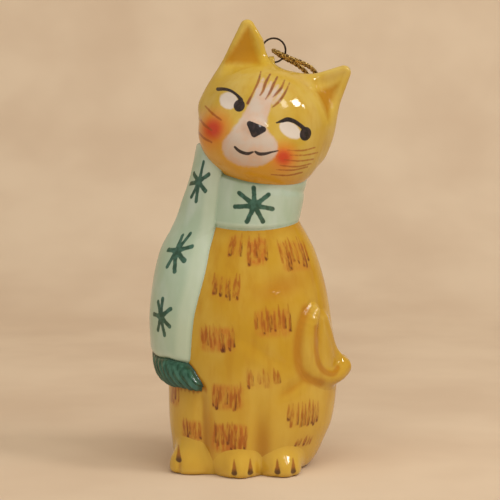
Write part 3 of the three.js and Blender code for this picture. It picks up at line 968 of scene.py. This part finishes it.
def glaze_depth_and_shade(paint, color, pooled_shade, bare, amount):
    """Darkens hollows where the glaze runs thick, which is also painted shade, and lightens edges where it
    is thin.
    """
    # Hollows get the pooled glaze colour, which is also painted shade.
    color = paint.tint(color, "pool_and_shade", 0.03, 0.7, amount, pooled_shade)
    return paint.tint(color, "thin", 0.03, 0.5, 0.4, bare)


def mustard_base(paint, main, deep, pale):
    color = paint.mottle(paint.noise(9, 3, (1, 1, 1.6)), 0.35, 0.7, main, pale)
    streak = paint.ramp(paint.noise(2.2, 4, (1, 1, 5)), 0.45, 0.75, 0.0, 0.35)
    return paint.mix(streak, color, deep)


def body_material():
    paint = Paint("mustard_glaze")
    color = mustard_base(paint, srgb(184, 140, 26), srgb(168, 112, 8), srgb(192, 154, 54))
    # The body is painted lighter towards its foot.
    color = paint.mix(paint.ramp(paint.height(), 0.034, 0.006, 0.0, 0.5), color, srgb(208, 168, 64))
    # Painted shade in the body's folds and creases, under the collar and along the tail's creases.
    color = paint.tint(color, "shade_and_chin_tint", 0.0, 1.0, 0.75, srgb(168, 106, 2))
    color = glaze_depth_and_shade(paint, color, srgb(150, 90, 4), srgb(206, 172, 78), 0.85)
    grain = paint.ramp(paint.noise(0.7, 3, (1, 1, 4)), 0.32, 0.62, 0.3, 1.0)
    wash = paint.math("MULTIPLY", paint.ramp(paint.field("wash"), 0.9, -0.7), paint.field("solid"))
    stroke = paint.ramp(paint.field("stroke"), 0.24, -0.2, 0.0, 0.85)
    line = paint.math("MULTIPLY", paint.ramp(paint.field("line"), 0.14, -0.12), paint.field("shade"))
    layers = (wash, srgb(180, 106, 30)), (stroke, srgb(154, 82, 12)), (line, srgb(92, 44, 4))
    for cover, brown in layers:
        color = paint.mix(paint.math("MULTIPLY", cover, grain), color, brown)
    color = paint.coat_of_paint(color, "dot", srgb(84, 36, 8), 0.16, 0.2, 0.8)
    claw = paint.tint(srgb(150, 88, 20), "tip", 0.0, 1.0, 1.0, srgb(70, 34, 12))
    color = paint.coat_of_paint(color, "claw", claw, 0.18, 0.3, 0.9)
    return paint.glaze(color)


def head_material():
    paint = Paint("head_glaze")
    color = mustard_base(paint, srgb(188, 153, 50), srgb(178, 131, 24), srgb(195, 165, 80))
    color = glaze_depth_and_shade(paint, color, srgb(168, 112, 16), srgb(214, 186, 108), 0.5)
    # Painted shadow in the dish of each ear.
    color = paint.coat_of_paint(color, "ear_dish_shadow", srgb(164, 108, 16), 1.0, 0.8, 0.8)
    color = paint.tint(color, "shade_and_chin_tint", 0.0, 0.9, 0.6, srgb(214, 148, 24))
    color = paint.tint(color, "blush", 5.4, 1.2, 0.75, srgb(212, 112, 24))
    color = paint.tint(color, "blush", 2.9, 0.6, 0.9, srgb(192, 50, 18))
    white = paint.mottle(paint.noise(3.5, 3), 0.35, 0.65, srgb(196, 180, 166), srgb(200, 170, 150))
    color = paint.coat_of_paint(color, "white", white, 0.42, 0.9, 0.94)
    color = paint.coat_of_paint(color, "eye", srgb(210, 198, 186), 0.3, 0.5, 0.95)
    lines = paint.mottle(paint.noise(2.5, 2), 0.4, 0.6, srgb(140, 78, 34), srgb(112, 44, 40))
    color = paint.coat_of_paint(color, "stripe", lines, 0.16, 0.25, 0.85)
    color = paint.coat_of_paint(color, "whisker", srgb(146, 70, 10), 0.16, 0.3, 0.8)
    dark = paint.mottle(paint.noise(1.0, 3), 0.4, 0.7, srgb(24, 18, 20), srgb(48, 36, 40))
    color = paint.coat_of_paint(color, "dark", dark, 0.09, 0.12, 0.98)
    # The dish of each ear has hardly any coat, so that no glint shows in it.
    coat = paint.ramp(paint.field("ear_dish_shadow"), 0.5, 3.0, 0.15, 1.0)
    paint.links.new(coat, paint.shader.inputs["Coat Weight"])
    return paint.glaze(color, 0.06)


def mint_material():
    paint = Paint("mint_glaze")
    blotch = paint.noise(7, 3, (1, 1, 2))
    color = paint.mottle(blotch, 0.35, 0.7, srgb(163, 182, 157), srgb(180, 194, 178))
    color = glaze_depth_and_shade(paint, color, srgb(118, 140, 108), srgb(200, 208, 184), 0.8)
    green = paint.mottle(paint.noise(1.3, 3), 0.4, 0.66, srgb(28, 66, 48), srgb(54, 94, 78))
    color = paint.coat_of_paint(color, "star", green, 0.13, 0.35, 0.96)
    return paint.glaze(color)


def green_material():
    paint = Paint("green_glaze")
    threads = paint.noise(1.1, 3, (1, 1, 5))
    color = paint.mottle(threads, 0.36, 0.66, srgb(26, 64, 44), srgb(56, 98, 78))
    color = glaze_depth_and_shade(paint, color, srgb(18, 44, 34), srgb(80, 118, 102), 0.9)
    return paint.glaze(color)


def metal(paint, glint, colors, roughness, metallic, relief):
    """Finishes as bare metal, with a colour and a roughness at each end of the glint."""
    inputs = paint.shader.inputs
    paint.links.new(paint.mix(glint, *colors), inputs["Base Color"])
    paint.links.new(paint.ramp(glint, 0, 1, *roughness), inputs["Roughness"])
    inputs["Metallic"].default_value = metallic
    paint.links.new(relief, inputs["Normal"])
    return paint.material


def wire_material():
    paint = Paint("dark_wire")
    tarnish = paint.ramp(paint.noise(0.9, 4), 0.35, 0.7)
    colors = srgb(88, 80, 74), srgb(52, 42, 36)
    return metal(paint, tarnish, colors, (0.25, 0.5), 1.0, paint.bump(paint.noise(0.4, 3), 0.02))


def cord_material():
    paint = Paint("gold_cord")
    glint = paint.ramp(paint.noise(0.35, 3), 0.4, 0.62)
    colors = srgb(88, 58, 20), srgb(226, 188, 108)
    return metal(paint, glint, colors, (0.6, 0.32), 0.75, paint.bump(paint.noise(0.16, 2), 0.05))


# ---- Swept pieces -----------------------------------------------------------------------

def frames_along(path):
    """Directions across a path that turn with it without twisting."""
    ahead = np.gradient(path, axis=0)
    ahead /= np.linalg.norm(ahead, axis=1)[:, None]
    side = np.cross(ahead[0], (0.0, 0.0, 1.0))
    if np.linalg.norm(side) < 0.1:
        side = np.cross(ahead[0], (1.0, 0.0, 0.0))
    sides = []
    for direction in ahead:
        side = side - direction * (side @ direction)
        side = side / np.linalg.norm(side)
        sides.append(side)
    sides = np.array(sides)
    return sides, np.cross(ahead, sides)


def tube(path, radii, sides, closed=False):
    """Points and quads of a tube along a path; a closed one joins its last ring to its first."""
    across, up = frames_along(path)
    angles = np.linspace(0, 2 * math.pi, sides, endpoint=False)
    cos, sin = np.cos(angles)[None, :, None], np.sin(angles)[None, :, None]
    ring = cos * across[:, None, :] + sin * up[:, None, :]
    points = (path[:, None, :] + ring * np.asarray(radii, float).reshape(-1, 1, 1)).reshape(-1, 3)
    count = len(path)
    rows = np.arange(count if closed else count - 1)
    a = rows[:, None] * sides + np.arange(sides)[None, :]
    b = rows[:, None] * sides + (np.arange(sides)[None, :] + 1) % sides
    c = ((rows[:, None] + 1) % count) * sides + (np.arange(sides)[None, :] + 1) % sides
    d = ((rows[:, None] + 1) % count) * sides + np.arange(sides)[None, :]
    return points, np.stack([a, b, c, d], axis=-1).reshape(-1, 4)


def capped(path, radius, steps=4):
    """A path and its radii with round ends."""
    first = path[0] - path[1]
    last = path[-1] - path[-2]
    angles = np.linspace(0, math.pi / 2, steps + 1)[1:]
    starts = [path[0] + first / np.linalg.norm(first) * radius * math.sin(a) for a in angles[::-1]]
    ends = [path[-1] + last / np.linalg.norm(last) * radius * math.sin(a) for a in angles]
    cap = [max(0.02, math.cos(a)) * radius for a in angles]
    return np.vstack([starts, path, ends]), np.array(cap[::-1] + [radius] * len(path) + cap)


def joined(parts):
    points, quads, start = [], [], 0
    for part_points, part_quads in parts:
        points.append(part_points)
        quads.append(part_quads + start)
        start += len(part_points)
    return np.vstack(points), np.vstack(quads)


def strands(path, count, twist_length, offset, radius, sides):
    """Twisted strands round a path."""
    across, up = frames_along(path)
    along = np.concatenate([[0], np.cumsum(np.linalg.norm(np.diff(path, axis=0), axis=1))])
    parts = []
    for k in range(count):
        angle = (2 * math.pi * (along / twist_length + k / count))[:, None]
        line = path + offset * (np.cos(angle) * across + np.sin(angle) * up)
        parts.append(tube(*capped(line, radius), sides))
    return joined(parts)


CORD_DIAMETER = 1.3
CORD_ROUTE = [
    (10.1, 18.7, 34.9), (10.2, 17.9, 38.5), (10.7, 16.2, 44.5), (11.6, 14.8, 52), (12.9, 13.9, 62),
    (14.2, 13.7, 72), (15.5, 13.4, 79.5), (16.9, 12.9, 84.5), (18.2, 12.1, 89), (19.1, 10.9, 93.6),
    (19.4, 9.2, 97.6), (18.7, 7.2, 100.9), (17.0, 5.2, 103.1), (14.6, 3.6, 104.4), (12.2, 2.5, 105.3),
    (9.9, 1.9, 106.2), (8.3, 2.3, 107.0), (6.9, 3.6, 107.7), (7.5, 5.0, 107.4), (9.2, 5.5, 106.2),
    (11.4, 5.6, 105.1), (13.6, 6.3, 103.9), (15.6, 7.6, 102.2), (17.0, 9.3, 99.6), (17.4, 11.0, 96),
    (17.0, 12.6, 91.6), (15.9, 13.7, 86.8), (14.5, 14.2, 81.5), (12.4, 14.5, 73), (10.6, 14.7, 62),
    (9.3, 15.1, 52), (8.4, 16.4, 44), (8.0, 17.9, 38.5), (7.9, 18.7, 34.9),
]
KNOT_CENTRE = np.array([9.0, 19.3, 31.6])
KNOT_TAILS = [((8.0, 19.3, 30.4), (6.9, 18.9, 25.2)), ((10.0, 19.3, 30.4), (10.9, 18.9, 24.6))]
PLIES = 3
TWIST = 6.0  # length of one whole turn, in cord radii


def twisted(path, radius):
    ply = 0.5 * radius
    return strands(path, PLIES, TWIST * radius, radius - ply, ply, 8)


def add_cord(material):
    path = smooth_path(CORD_ROUTE, 0.16)
    piece = new_mesh("twisted_cord", *twisted(path, CORD_DIAMETER / 2), material)
    length = float(np.linalg.norm(np.diff(path, axis=0), axis=1).sum()) * MM
    return piece, path, length


def add_knot(material):
    """An overhand knot in the doubled cord, with its two short tails."""
    t = np.linspace(0, 2 * math.pi, 140, endpoint=False)
    trefoil = [np.sin(t) + 2 * np.sin(2 * t), 0.75 * np.sin(3 * t), np.cos(t) - 2 * np.cos(2 * t)]
    loop = np.stack(trefoil, axis=1)
    scale = np.array([0.56, 1.45, 0.7])
    parts = []
    for shift in (-0.1, 0.25):
        path = KNOT_CENTRE + loop * scale * (1 - 0.25 * shift) + np.array([0, shift * 0.6, 0])
        closed_path = np.vstack([path, path[:1]])
        parts.append(twisted(smooth_path(closed_path, 0.2), CORD_DIAMETER / 2 * 0.9))
    for start, end in KNOT_TAILS:
        middle = (np.array(start) + np.array(end)) / 2 + np.array([0.2, 0.15, 0])
        parts.append(twisted(smooth_path([start, middle, end], 0.16), CORD_DIAMETER / 2))
    return new_mesh("overhand_knot", *joined(parts), material)


def add_ring(material):
    """A wire jump ring whose cut ends meet at the upper right."""
    cut = math.radians(40)
    half_cut = math.radians(2.0)
    angles = np.linspace(cut + half_cut, cut + 2 * math.pi - half_cut, 150)
    lift = RING_SPRING * (angles - cut - math.pi) / math.pi
    path = RING_CENTRE + np.stack(
        [RING_RADIUS * np.cos(angles), lift, RING_RADIUS * np.sin(angles)], axis=1)
    return new_mesh("wire_ring", *tube(*capped(path, RING_WIRE, 3), 16), material)


# ---- The scene ----------------------------------------------------------------------------

BODY_FIELDS = {
    "wash": FAR, "stroke": FAR, "line": FAR, "dot": FAR, "claw": FAR,
    "tip": 0.0, "shade": 0.0, "solid": 0.0, "shade_and_chin_tint": 0.0,
}
HEAD_FIELDS = {
    "dark": FAR, "white": FAR, "eye": FAR, "stripe": FAR, "whisker": FAR, "blush": FAR,
    "ear_dish_shadow": FAR, "shade_and_chin_tint": 0.0,
}


def add_potted(name, node, shape, low, high, cell, finish, painter=None):
    """Meshes one ceramic piece, paints its fields and hangs it on the figure."""
    material, unpainted = finish
    points, quads = surface(shape, low, high, cell)
    piece = new_mesh(name, points, quads, material)
    paint_glaze_depth_and_shade(piece, points)
    if painter:
        painter(piece, points)
    for field, value in unpainted.items():
        if field not in piece.data.attributes:
            set_field(piece, field, np.full(len(points), value))
    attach(piece, FIGURE)
    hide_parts(node)


def tail_shadow(points):
    """Painted shade in the creases along the tail."""
    x, y, z = points.T
    shadow = np.zeros(len(points))
    for line, softness in TAIL_CREASES:
        gap = brush(x, z, *smooth_strokes(line, [0.2] * len(line)))
        shadow = np.maximum(shadow, bump(np.maximum(gap, 0) / softness))
    return shadow * (y < 0)


def paint_tail(piece, points):
    set_field(piece, "shade_and_chin_tint", tail_shadow(points))


def paint_body(piece, points):
    paint_fur(piece, points)
    x, y, z = points.T
    # Painted shade: under the collar, in the chest fold and haunch crease, between the legs and behind the
    # hind leg.
    under_collar = 0.4 * bump((z - 63) / 2.5)
    chest = 0.75 * bump((x - 7.5) / 7.5, (z - 47.8 - 0.25 * (x - 7.5)) / 3.6)
    between_legs = 0.8 * bump((x - 2.6) / 2.6, (z - 8) / 8)
    haunch_line = 0.6 * bump((x - 10.0) / 3.5, (z - 22.4 - 0.5 * (x - 10.0)) / 1.2)
    behind_leg = 0.9 * bump((x + 10.8) / 1.8, (z - 10) / 9)
    front = (chest + between_legs + haunch_line + behind_leg) * (y < 0)
    set_field(piece, "shade_and_chin_tint", np.clip(under_collar + front + tail_shadow(points), 0, 1))


def add_figure():
    finishes = {
        "mustard_glaze": (body_material(), BODY_FIELDS),
        "head_glaze": (head_material(), HEAD_FIELDS),
        "mint_glaze": (mint_material(), {}),
        "green_glaze": (green_material(), {}),
    }
    collar = part_of(collar_skin, body_skin, 0.9, 0.5)
    scarf = part_of(scarf_tail_skin, under_scarf, 0.8, 0.4)
    fringe = part_of(fringe_skin, body_skin, 0.6, 0.35)
    tail = part_of(tail_plain, body_skin, TAIL_BLEND, SKIRT_SHARE * TAIL_BLEND)
    lug = part_of(lug_skin, head_plain, 0.6, 0.4)
    # Name, node, slot, skin, the corners of the space it is meshed in, cell and painter.
    pieces = [
        ("cat_body", "body_casting", "mustard_glaze", body_skin,
         (-24, -22, -1), (25, 21, 78.5), 0.36, paint_body),
        ("cat_head", "head_casting", "head_glaze", head_skin,
         (-15, -19, 71), (29, 17, 118), 0.28, paint_face),
        ("scarf_band", "scarf_collar", "mint_glaze", collar,
         (-15, -14, 60), (18, 16, 81), 0.26, paint_collar),
        ("scarf_long_end", "scarf_tail", "mint_glaze", scarf,
         (-28, -19, 26), (0, 9, 86), 0.26, paint_scarf),
        ("scarf_fringe_end", "scarf_fringe", "green_glaze", fringe,
         (-28, -20, 17), (-8, 9, 36), 0.16, None),
        ("curled_tail", "cat_tail", "mustard_glaze", tail,
         (9, -18, 18), (29, 14, 46), 0.2, paint_tail),
    ]
    for name, paw in PAWS.items():
        low = [c - h - 2 for c, h in zip(paw["centre"], paw["half"])]
        high = [c + h + 2 for c, h in zip(paw["centre"], paw["half"])]
        pieces.append((name + "_glazed", name, "mustard_glaze", paw_skin(paw),
                       (low[0], low[1], -0.6), high, 0.2, claw_painter(paw)))
    pieces.append(("pierced_lug", "hanger_lug", "head_glaze", lug,
                   (2.5, 0, 100.5), (10, 8, 107.5), 0.1, None))
    for name, node, slot, shape, low, high, cell, painter in pieces:
        add_potted(name, node, shape, low, high, cell, finishes[slot], painter)


def add_hanger():
    gold = cord_material()
    cord, path, length = add_cord(gold)
    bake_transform(cord)
    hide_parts("hanging_cord")
    knot = add_knot(gold)
    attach(knot, FIGURE)
    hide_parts("cord_knot")
    ring = add_ring(wire_material())
    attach(ring, RING)
    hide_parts("hanger_ring")


def add_light(name, place, target, size, power, color, mirrored=True):
    """A panel of light; one that is not mirrored is hidden from the glaze's reflections."""
    data = bpy.data.lights.new(name, "AREA")
    data.shape = "RECTANGLE"
    data.size = size[0]
    data.size_y = size[1]
    data.energy = power
    data.color = color
    light = in_scene(name, data)
    light.location = place
    direction = Vector(target) - Vector(place)
    light.rotation_euler = direction.to_track_quat("-Z", "Y").to_euler()
    light.visible_glossy = mirrored


def add_sweep():
    """Pale paper under and behind the figure."""
    bend = 0.25  # where the paper starts to turn up behind the figure, and its radius, m
    steps = 12
    profile = [(-1.2, 0.0), (bend, 0.0)]
    for k in range(1, steps + 1):
        angle = math.radians(90 * k / steps)
        profile.append((bend + bend * math.sin(angle), bend * (1 - math.cos(angle))))
    profile.append((2 * bend, 1.4))
    half = 1.6
    verts = [(side * half, y, z) for y, z in profile for side in (-1, 1)]
    faces = [(2 * k, 2 * k + 1, 2 * k + 3, 2 * k + 2) for k in range(len(profile) - 1)]
    mesh = bpy.data.meshes.new("sweep")
    mesh.from_pydata(verts, [], faces)
    mesh.shade_smooth()
    sweep = in_scene("sweep", mesh)
    paint = Paint("pale_paper")
    color = paint.mottle(paint.noise(60, 3), 0.3, 0.7, srgb(204, 180, 152), srgb(214, 192, 164))
    paint.links.new(color, paint.shader.inputs["Base Color"])
    paint.shader.inputs["Roughness"].default_value = 0.9
    mesh.materials.append(paint.material)


def add_lights():
    """Lamps and a window that the glaze mirrors, and soft light from above and the front."""
    middle = (0, 0, 0.06)
    daylight = (1.0, 0.98, 0.95)
    add_light("lamp_right", (0.60, -0.30, 0.66), middle, (0.19, 0.15), 2.2, daylight)
    add_light("lamp_far_right", (0.74, -0.20, 0.58), middle, (0.05, 0.08), 0.5, daylight)
    add_light("window", (0.38, -0.52, 0.66), middle, (0.13, 0.18), 0.45, daylight)
    add_light("overhead", (0.1, -0.45, 0.85), middle, (1.2, 1.0), 5.25, (1.0, 0.98, 0.94), False)
    add_light("room_front", (-0.5, -1.1, 0.35), middle, (1.2, 0.9), 3.7, (1.0, 0.95, 0.88), False)


def add_room():
    world = bpy.data.worlds.new("room")
    world.use_nodes = True
    background = world.node_tree.nodes["Background"]
    background.inputs["Color"].default_value = (1.0, 0.95, 0.88, 1)
    background.inputs["Strength"].default_value = 0.36
    bpy.context.scene.world = world
    bpy.context.scene.view_settings.view_transform = "Standard"


add_hanger()
add_figure()
add_sweep()
add_lights()
add_room()
